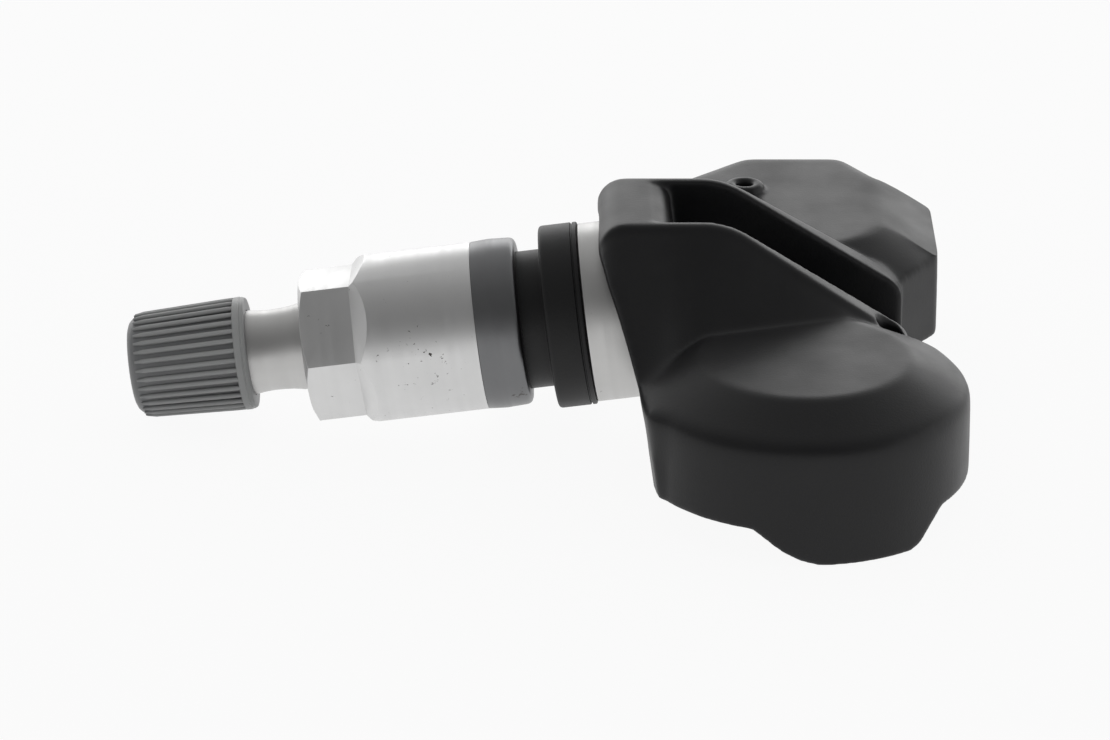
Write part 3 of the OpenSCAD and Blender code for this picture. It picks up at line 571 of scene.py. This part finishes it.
def turnedPiece(name, points, sides=128):
    profile = roundedProfile(points)
    bm = bmesh.new()
    rings = []
    for p in profile:
        if p.x < 1e-6:
            rings.append([bm.verts.new((0, 0, p.y))])
        else:
            turns = [2 * math.pi * k / sides for k in range(sides)]
            rings.append([bm.verts.new((p.x * math.cos(turn), p.x * math.sin(turn), p.y)) for turn in turns])
    for lower, upper in zip(rings, rings[1:] + ([rings[0]] if profile[0].x > 1e-6 else [])):
        for k in range(sides):
            n = (k + 1) % sides
            around = (lower[k % len(lower)], lower[n % len(lower)], upper[n % len(upper)], upper[k % len(upper)])
            corners = list(dict.fromkeys(around))
            if len(corners) > 2:
                bm.faces.new(corners)
    bmesh.ops.recalc_face_normals(bm, faces=bm.faces)
    mesh = bpy.data.meshes.new(name)
    bm.to_mesh(mesh)
    bm.free()
    piece = bpy.data.objects.new(name, mesh)
    bpy.context.scene.collection.objects.link(piece)
    return piece


def onValve(piece):
    piece.data.transform(Matrix.Scale(mm, 4))
    piece.data.transform(valvePlace)
    piece.data.update()
    return piece


grommet = {
    "bore": 4.99, "flange": 8.15, "back": -3.42, "waist": 6.12, "waistEnd": 2.22, "spigot": 3.62, "rounding": 0.4,
}
g = grommet
grommetPiece = turnedPiece("rimGrommet", [
    (g["bore"], g["back"], 0), (g["flange"], g["back"], 0.15), (g["flange"], g["back"] + 0.38, 0.08),
    (g["flange"] - 0.16, g["back"] + 0.42, 0), (g["flange"] - 0.16, g["back"] + 0.52, 0),
    (g["flange"], g["back"] + 0.56, 0.08), (g["flange"], 0, g["rounding"]),
    (g["waist"], 0, 0.25), (g["waist"], g["spigot"], 0.3), (g["bore"], g["spigot"], 0),
])
onValve(grommetPiece)
smoothShaded(grommetPiece, 50)
dress(grommetPiece, "rubber", "valve", "rubber", "rim_grommet")

collar = {"bore": 5.02, "socket": 6.17, "front": 2.22, "back": 6.17, "full": 7.55, "rounding": 1.0}
c = collar
collarPiece = turnedPiece("pressureCollar", [
    (c["socket"], c["front"], 0), (c["full"] - 0.12, c["front"], c["rounding"]), (c["full"], 4.6, 2.0),
    (c["full"] - 0.1, c["back"], 0.12), (c["bore"], c["back"], 0), (c["bore"], 3.72, 0), (c["socket"], 3.72, 0),
])
onValve(collarPiece)
smoothShaded(collarPiece, 50)
dress(collarPiece, "collar", "valve", "collar", "pressure_collar")


# Metal pieces whose CAD shape is right get fine edges
def edged(node, name, material, body, slotName, width=0.12, angle=28, change=None):
    piece = mergedCopy(node, name)
    if change:
        change(piece.data)
    bevel = piece.modifiers.new("edges", "BEVEL")
    bevel.width = width * mm
    bevel.segments = 2
    bevel.limit_method = "ANGLE"
    bevel.angle_limit = math.radians(angle)
    bevel.use_clamp_overlap = True
    baked(piece)
    smoothShaded(piece, 32)
    return dress(piece, material, body, slotName, node)


# The nut's hexagon sits a little nearer the collar than in the solid, with a finer chamfer; stations in millimetres
nut = {
    "hexStart": 17.37, "hexEnd": 22.12, "flat": 6.0, "cornerDrop": 1.3, "scallop": 2.9,
    "startShift": -0.35, "endShift": -0.45, "chamferFrom": 5.95, "chamferSlope": 0.47,
}


def refitNut(mesh):
    back = valvePlace.inverted()
    for vert in mesh.vertices:
        place = back @ vert.co / mm
        radius = math.hypot(place.x, place.y)
        atEnd = place.z > nut["hexEnd"] - nut["cornerDrop"]
        if atEnd and radius > 5:
            if radius < nut["flat"] - 0.1:
                place.x, place.y = (v * nut["chamferFrom"] / radius for v in (place.x, place.y))
                radius = nut["chamferFrom"]
            place.z = nut["hexEnd"] + nut["endShift"] - nut["chamferSlope"] * (radius - nut["chamferFrom"])
        elif atEnd:
            place.z += nut["endShift"]
        elif nut["hexStart"] - nut["scallop"] < place.z < nut["hexStart"] + 0.2 and radius > 5.5:
            place.z += nut["startShift"]
        vert.co = valvePlace @ (place * mm)
    mesh.update()


edged("union_nut", "unionNut", "aluminium", "nut", "aluminium", width=0.1, change=refitNut)

# The stem's neck narrows a little between nut and cap: (station, radius) in millimetres
neck = {
    "profile": ((22.3, 3.84), (22.7, 3.76), (23.3, 3.67), (24.1, 3.61), (25.0, 3.59), (25.8, 3.64), (26.5, 3.74)),
    "outside": 3.2,
}


def waistNeck(mesh):
    tipwards = valvePlace.to_3x3() @ Vector((0, 0, 1))
    bm = bmesh.new()
    bm.from_mesh(mesh)
    for station, radius in neck["profile"]:
        geometry = bm.verts[:] + bm.edges[:] + bm.faces[:]
        made = bmesh.ops.bisect_plane(bm, geom=geometry, dist=1e-6, plane_co=tipwards * station * mm,
                                      plane_no=tipwards)
        for vert in made["geom_cut"]:
            if isinstance(vert, bmesh.types.BMVert):
                middle = tipwards * vert.co.dot(tipwards)
                away = vert.co - middle
                if away.length > neck["outside"] * mm:
                    vert.co = middle + away.normalized() * radius * mm
    for face in bm.faces:
        face.smooth = True
    bm.to_mesh(mesh)
    bm.free()


stem = edged("valve_stem", "valveStem", "stem", "valve", "aluminium", width=0.1)
waistNeck(stem.data)


# The cap: a turned body with ribs that Geometry Nodes repeats round it
cap = {
    "mouth": 26.72, "end": 37.42, "bore": 3.82, "mouthRadius": 5.05, "tipRadius": 4.7, "ribs": 34,
    "ribWidth": 0.24, "grooveDepth": 0.22, "band": 1.0, "floor": 36.22, "edge": 1.35,
}


def ribTree(material):
    tree = bpy.data.node_groups.new("gripRibs", "GeometryNodeTree")
    sockets = (
        ("Geometry", "NodeSocketGeometry", None), ("Count", "NodeSocketInt", 34),
        ("Start", number, 0.0), ("End", number, 9.0), ("Start Radius", number, 5.0), ("End Radius", number, 4.5),
        ("Width", number, 0.26),
    )
    for label, kind, value in sockets:
        socket = tree.interface.new_socket(label, in_out="INPUT", socket_type=kind)
        if value is not None:
            socket.default_value = value
    tree.interface.new_socket("Geometry", in_out="OUTPUT", socket_type="NodeSocketGeometry")
    given = addNode(tree, "NodeGroupInput", (-1400, 0))
    out = addNode(tree, "NodeGroupOutput", (900, 0))
    link = tree.links.new
    low = addNode(tree, "ShaderNodeCombineXYZ", (-1150, 200))
    high = addNode(tree, "ShaderNodeCombineXYZ", (-1150, 0))
    link(given.outputs["Start Radius"], low.inputs["X"])
    link(given.outputs["Start"], low.inputs["Z"])
    link(given.outputs["End Radius"], high.inputs["X"])
    link(given.outputs["End"], high.inputs["Z"])
    line = addNode(tree, "GeometryNodeCurvePrimitiveLine", (-950, 100))
    link(low.outputs[0], line.inputs["Start"])
    link(high.outputs[0], line.inputs["End"])
    cut = addNode(tree, "GeometryNodeResampleCurve", (-750, 100))
    cut.inputs["Count"].default_value = 12
    link(line.outputs[0], cut.inputs["Curve"])
    along = addNode(tree, "GeometryNodeSplineParameter", (-1150, -250))
    ends = addNode(tree, "ShaderNodeFloatCurve", (-950, -250))
    curve = ends.mapping.curves[0]
    curve.points[0].location = (0.0, 0.9)
    curve.points[1].location = (1.0, 0.45)
    curve.points.new(0.03, 1.0)
    curve.points.new(0.9, 1.0)
    ends.mapping.update()
    link(along.outputs["Factor"], ends.inputs["Value"])
    ring = addNode(tree, "GeometryNodeCurvePrimitiveCircle", (-750, -150))
    ring.inputs["Resolution"].default_value = 10
    link(given.outputs["Width"], ring.inputs["Radius"])
    rib = addNode(tree, "GeometryNodeCurveToMesh", (-350, 100))
    rib.inputs["Fill Caps"].default_value = True
    link(cut.outputs[0], rib.inputs["Curve"])
    link(ring.outputs[0], rib.inputs["Profile Curve"])
    link(ends.outputs[0], rib.inputs["Scale"])
    spots = addNode(tree, "GeometryNodePoints", (-350, -150))
    link(given.outputs["Count"], spots.inputs["Count"])
    index = addNode(tree, "GeometryNodeInputIndex", (-950, -550))
    step = addNode(tree, "ShaderNodeMath", (-750, -550), operation="DIVIDE")
    turn = addNode(tree, "ShaderNodeMath", (-550, -550), operation="MULTIPLY")
    turn.inputs[1].default_value = 2 * math.pi
    angles = addNode(tree, "ShaderNodeCombineXYZ", (-350, -550))
    link(index.outputs[0], step.inputs[0])
    link(given.outputs["Count"], step.inputs[1])
    link(step.outputs[0], turn.inputs[0])
    link(turn.outputs[0], angles.inputs["Z"])
    copies = addNode(tree, "GeometryNodeInstanceOnPoints", (-100, 0))
    link(spots.outputs[0], copies.inputs["Points"])
    link(rib.outputs[0], copies.inputs["Instance"])
    link(angles.outputs[0], copies.inputs["Rotation"])
    real = addNode(tree, "GeometryNodeRealizeInstances", (100, 0))
    link(copies.outputs[0], real.inputs[0])
    join = addNode(tree, "GeometryNodeJoinGeometry", (300, 0))
    link(real.outputs[0], join.inputs[0])
    link(given.outputs["Geometry"], join.inputs[0])
    painted = addNode(tree, "GeometryNodeSetMaterial", (500, 0))
    painted.inputs["Material"].default_value = material
    link(join.outputs[0], painted.inputs["Geometry"])
    link(painted.outputs[0], out.inputs[0])
    return tree


def makeCap():
    k = cap
    middle = k["mouthRadius"] - k["ribWidth"]
    tipMiddle = k["tipRadius"] - k["ribWidth"]
    base = middle - k["grooveDepth"]
    tip = tipMiddle - k["grooveDepth"] * 0.4
    body = turnedPiece("valveCap", [
        (k["bore"], k["mouth"], 0), (k["mouthRadius"] - 0.16, k["mouth"], 0.1),
        (k["mouthRadius"] - 0.04, k["mouth"] + 0.3, 0.05), (k["mouthRadius"] - 0.1, k["mouth"] + 0.38, 0.05),
        (k["mouthRadius"], k["mouth"] + 0.48, 0.06),
        (k["mouthRadius"] - 0.01, k["mouth"] + k["band"], 0.1), (base, k["mouth"] + k["band"] + 0.12, 0.05),
        (tip, k["end"] - 0.02, k["edge"]), (0, k["end"], 0), (0, k["floor"], 0),
        (k["bore"], k["floor"], 0),
    ])
    tree = ribTree(finish["cap"])
    ribs = body.modifiers.new("gripRibs", "NODES")
    ribs.node_group = tree
    values = {
        "Count": k["ribs"], "Start": k["mouth"] + k["band"], "End": k["end"] - k["edge"] * 0.55,
        "Start Radius": middle, "End Radius": tipMiddle, "Width": k["ribWidth"],
    }
    for item in tree.interface.items_tree:
        if item.in_out == "INPUT" and item.name in values:
            ribs[item.identifier] = values[item.name]
    baked(body)
    onValve(body)
    smoothShaded(body, 50)
    return dress(body, "cap", "cap", "cap_plastic", "valve_cap")


makeCap()
print("stage: valve pieces made")

# CAD nodes that keep their own mesh
plainNodes = {
    "base_cover": "potting", "button_cell": "cell", "plus_strap": "nickel", "minus_strap": "nickel",
    "circuit_board": "board", "pressure_sensor": "chip", "port_membrane": "membrane", "controller_chip": "chip",
    "timing_crystal": "cell", "antenna_core": "ferrite", "antenna_winding": "copper", "radio_loop": "nickel",
    "board_capacitors": "chip", "clamp_screw": "steel", "screw_saddle": "steel", "cap_seal": "capSeal",
    "core_body": "brass", "core_seal": "rubber", "core_spring": "steel", "core_pin": "brass",
}
for node, material in plainNodes.items():
    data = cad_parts[node].data
    if data.materials:
        data.materials[0] = finish[material]
    else:
        data.materials.append(finish[material])

# Studio: a pale floor, a bright rear, and a grey ceiling that arches over from the camera's side
studio = {
    "floorTone": (0.86, 0.86, 0.87), "floorGlow": 0.93, "roomLight": 0.9,
    "ceiling": {"radius": 0.62, "half": 0.85, "from": 5, "to": 147, "steps": 14},
    "ceilingTones": ((5, 0.5), (20, 0.36), (34, 0.2), (52, 0.25), (70, 0.28), (95, 0.42), (120, 0.6), (147, 0.58)),
    "sideWall": {"x": -0.8, "y": (-0.62, 0.45), "z": (0.02, 0.6), "tone": 0.4},
    "lamps": {"rearLight": {"at": (0.0, 0.75, 0.2), "size": (1.3, 0.36), "radiance": 1.06}},
}


# What the camera, a gloss or a glass sees, as against what lights the object
def seenRays(tree, at):
    light = addNode(tree, "ShaderNodeLightPath", at)
    seen = addNode(tree, "ShaderNodeMath", (at[0] + 250, at[1]), operation="MAXIMUM")
    through = addNode(tree, "ShaderNodeMath", (at[0] + 420, at[1]), operation="MAXIMUM")
    tree.links.new(light.outputs["Is Camera Ray"], seen.inputs[0])
    tree.links.new(light.outputs["Is Glossy Ray"], seen.inputs[1])
    tree.links.new(seen.outputs[0], through.inputs[0])
    tree.links.new(light.outputs["Is Transmission Ray"], through.inputs[1])
    return through.outputs[0]


def makeFloor(level):
    mesh = bpy.data.meshes.new("studioFloor")
    side = 2.5
    corners = [(-side, -side, level), (side, -side, level), (side, side, level), (-side, side, level)]
    mesh.from_pydata(corners, [], [(0, 1, 2, 3)])
    floor = bpy.data.objects.new("studioFloor", mesh)
    bpy.context.scene.collection.objects.link(floor)
    material, tree, shader, _ = newMaterial("studioFloor")
    shader.inputs["Base Color"].default_value = (*studio["floorTone"], 1)
    shader.inputs["Roughness"].default_value = 0.9
    shader.inputs["Specular IOR Level"].default_value = 0.1
    glow = addNode(tree, "ShaderNodeEmission", (-100, 500), Strength=1.0)
    glow.inputs["Color"].default_value = (1, 1, 1, 1)
    part = addNode(tree, "ShaderNodeMath", (-150, 650), operation="MULTIPLY")
    part.inputs[1].default_value = studio["floorGlow"]
    mix = addNode(tree, "ShaderNodeMixShader", (200, 300))
    tree.links.new(seenRays(tree, (-700, 500)), part.inputs[0])
    tree.links.new(part.outputs[0], mix.inputs[0])
    tree.links.new(shader.outputs[0], mix.inputs[1])
    tree.links.new(glow.outputs[0], mix.inputs[2])
    tree.links.new(mix.outputs[0], tree.nodes["Material Output"].inputs["Surface"])
    mesh.materials.append(material)
    floor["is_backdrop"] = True


def makeWorld():
    world = bpy.data.worlds.new("studioRoom")
    bpy.context.scene.world = world
    world.use_nodes = True
    tree = world.node_tree
    back = tree.nodes["Background"]
    level = addNode(tree, "ShaderNodeMapRange", (-300, 200), To_Min=studio["roomLight"], To_Max=1.0)
    tree.links.new(seenRays(tree, (-900, 200)), level.inputs["Value"])
    tree.links.new(level.outputs[0], back.inputs["Strength"])
    back.inputs["Color"].default_value = (1, 1, 1, 1)


# A glowing card that the camera doesn't see and that throws no shadow
def glowCard(name, points, faces, strength):
    mesh = bpy.data.meshes.new(name)
    mesh.from_pydata(points, [], faces)
    piece = bpy.data.objects.new(name, mesh)
    bpy.context.scene.collection.objects.link(piece)
    material = bpy.data.materials.new(name)
    material.use_nodes = True
    tree = material.node_tree
    tree.nodes.remove(tree.nodes["Principled BSDF"])
    glow = addNode(tree, "ShaderNodeEmission", (200, 0), Strength=strength)
    tree.links.new(glow.outputs[0], tree.nodes["Material Output"].inputs["Surface"])
    mesh.materials.append(material)
    piece.visible_camera = False
    piece.visible_shadow = False
    piece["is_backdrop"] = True
    return tree, glow


# The ceiling's tones go by the angle above the camera's horizon
def makeCeiling():
    card = studio["ceiling"]
    steps = card["steps"]
    points = []
    for i in range(steps + 1):
        rise = math.radians(card["from"] + (card["to"] - card["from"]) * i / steps)
        for side in (-1, 1):
            points.append((side * card["half"], -card["radius"] * math.cos(rise), card["radius"] * math.sin(rise)))
    faces = [(2 * i, 2 * i + 1, 2 * i + 3, 2 * i + 2) for i in range(steps)]
    tree, glow = glowCard("greyCeiling", points, faces, 1.0)
    coords = addNode(tree, "ShaderNodeTexCoord", (-1000, 0))
    split = addNode(tree, "ShaderNodeSeparateXYZ", (-820, 0))
    back = addNode(tree, "ShaderNodeMath", (-640, -120), operation="MULTIPLY")
    back.inputs[1].default_value = -1
    angle = addNode(tree, "ShaderNodeMath", (-460, 0), operation="ARCTAN2")
    share = addNode(tree, "ShaderNodeMath", (-300, 0), operation="DIVIDE")
    share.inputs[1].default_value = math.pi
    tones = addNode(tree, "ShaderNodeValToRGB", (-120, 0))
    stops = tones.color_ramp.elements
    for i, (degrees, tone) in enumerate(studio["ceilingTones"]):
        stop = stops[i] if i < 2 else stops.new(degrees / 180)
        stop.position = degrees / 180
        stop.color = (tone, tone, tone, 1)
    link = tree.links.new
    link(coords.outputs["Object"], split.inputs[0])
    link(split.outputs["Y"], back.inputs[0])
    link(split.outputs["Z"], angle.inputs[0])
    link(back.outputs[0], angle.inputs[1])
    link(angle.outputs[0], share.inputs[0])
    link(share.outputs[0], tones.inputs[0])
    link(tones.outputs[0], glow.inputs["Color"])


# A grey wall beyond the valve's tip
def makeSideWall():
    wall = studio["sideWall"]
    points = [(wall["x"], y, z) for z in wall["z"] for y in wall["y"]]
    glowCard("greyWall", points, [(0, 1, 3, 2)], wall["tone"])


def addLamp(name, settings):
    wide, deep = settings["size"]
    data = bpy.data.lights.new(name, "AREA")
    data.shape = "RECTANGLE"
    data.size = wide
    data.size_y = deep
    data.energy = settings["radiance"] * math.pi * wide * deep
    lamp = bpy.data.objects.new(name, data)
    lamp.location = settings["at"]
    lamp.rotation_euler = (-Vector(settings["at"])).to_track_quat("-Z", "Y").to_euler()
    bpy.context.scene.collection.objects.link(lamp)


makeFloor(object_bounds()[0][2] - 0.00002)
makeWorld()
makeCeiling()
makeSideWall()
for name, settings in studio["lamps"].items():
    addLamp(name, settings)

# The camera of the photograph
shot = {"target": (0.543, -2.1, -4.218), "distance": 470.0, "elevation": 23.3, "lens": 171.6, "sensor": 36.0}
cameraData = bpy.data.cameras.new("shotCamera")
cameraData.lens = shot["lens"]
cameraData.sensor_width = shot["sensor"]
cameraData.sensor_fit = "HORIZONTAL"
cameraData.clip_start = 0.01
cameraData.clip_end = 10.0
camera = bpy.data.objects.new("shotCamera", cameraData)
bpy.context.scene.collection.objects.link(camera)
rise = math.radians(shot["elevation"])
camera.location = (Vector(shot["target"]) + shot["distance"] * Vector((0, -math.cos(rise), math.sin(rise)))) * mm
camera.rotation_euler = (math.pi / 2 - rise, 0, 0)
bpy.context.scene.camera = camera
bpy.context.scene.view_settings.view_transform = "Standard"

print("stage: scene ready")
